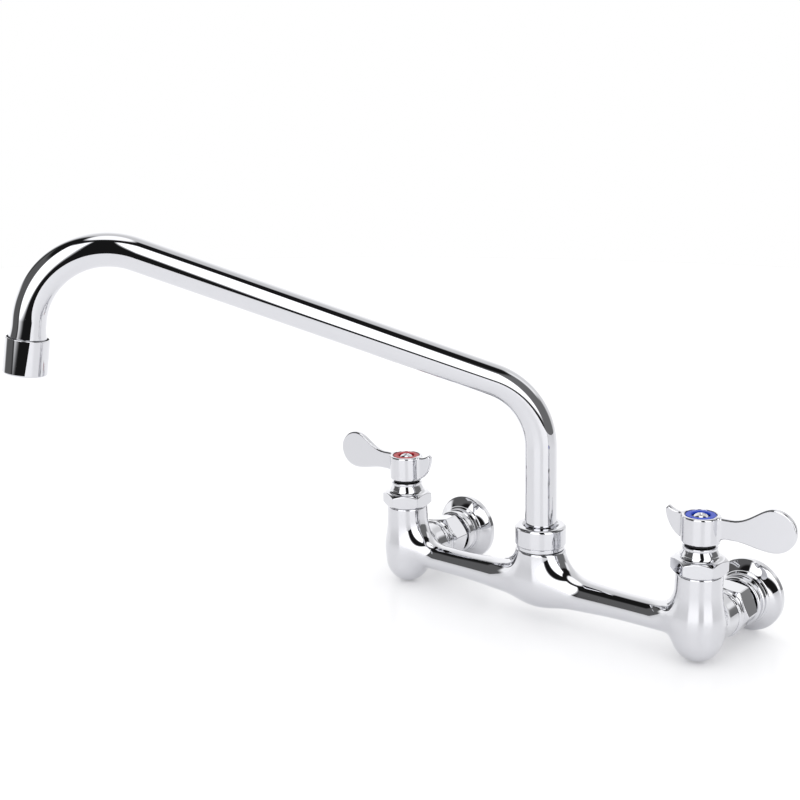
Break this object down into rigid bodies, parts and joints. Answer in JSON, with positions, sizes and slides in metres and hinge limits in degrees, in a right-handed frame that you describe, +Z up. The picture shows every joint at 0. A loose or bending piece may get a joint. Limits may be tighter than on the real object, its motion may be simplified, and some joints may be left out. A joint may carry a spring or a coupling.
{
  "type": "commercial wall faucet",
  "caption": "Wall-mounted kitchen faucet: cast bridge body on two flanged inlets, bent swing spout with aerator, and a lever handle with a colour ring on each ceramic valve.",
  "frame": {"origin": "on the wall plane, midway between the two inlet axes, at their height", "axes": "+Y into the wall, +Z up, +X towards the cold valve"},
  "size_m": [0.3572, 0.286, 0.2395],
  "materials": {
    "chrome": "bright chrome plate on brass",
    "brass": "machined, not plated",
    "ceramic": "lapped alumina",
    "rubber": "moulded, black",
    "nylon": "moulded, off-white",
    "steel": "stainless, bright",
    "hot_red": "glossy red",
    "cold_blue": "glossy blue"
  },
  "bodies": {
    "body": {"faucet_body": "chrome", "spout_nut": "chrome", "spout_glide_washer": "nylon", "hot_seat_seal": "rubber", "hot_fixed_disc": "ceramic", "hot_cartridge": "brass", "hot_bonnet_nut": "chrome", "hot_dust_seal": "rubber", "hot_wall_flange": "chrome", "hot_coupling_nut": "chrome", "hot_inlet_washer": "rubber", "cold_seat_seal": "rubber", "cold_fixed_disc": "ceramic", "cold_cartridge": "brass", "cold_bonnet_nut": "chrome", "cold_dust_seal": "rubber", "cold_wall_flange": "chrome", "cold_coupling_nut": "chrome", "cold_inlet_washer": "rubber"},
    "spout": {"spout_tube": "chrome", "spout_spigot": "brass", "spout_clip": "steel", "spout_lower_ring": "rubber", "spout_upper_ring": "rubber", "aerator_sleeve": "chrome", "aerator_washer": "rubber", "aerator_screen": "steel", "aerator_insert": "nylon"},
    "hot_lever": {"hot_handle": "chrome", "hot_index_ring": "hot_red", "hot_handle_screw": "chrome", "hot_stem": "brass", "hot_stem_ring": "rubber", "hot_rotor_disc": "ceramic"},
    "cold_lever": {"cold_handle": "chrome", "cold_index_ring": "cold_blue", "cold_handle_screw": "chrome", "cold_stem": "brass", "cold_stem_ring": "rubber", "cold_rotor_disc": "ceramic"}
  },
  "joints": [
    {"name": "spout_swivel", "type": "hinge", "parent": "body", "child": "spout", "pos_m": [0, -0.0647, 0.03], "axis": [0, 0, 1], "range_deg": [-57.5, 142.5]},
    {"name": "hot_valve_turn", "type": "hinge", "parent": "body", "child": "hot_lever", "pos_m": [-0.1016, -0.0647, 0.05], "axis": [0, 0, 1], "range_deg": [0, 90]},
    {"name": "cold_valve_turn", "type": "hinge", "parent": "body", "child": "cold_lever", "pos_m": [0.1016, -0.0647, 0.05], "axis": [0, 0, 1], "range_deg": [-90, 0]}
  ]
}
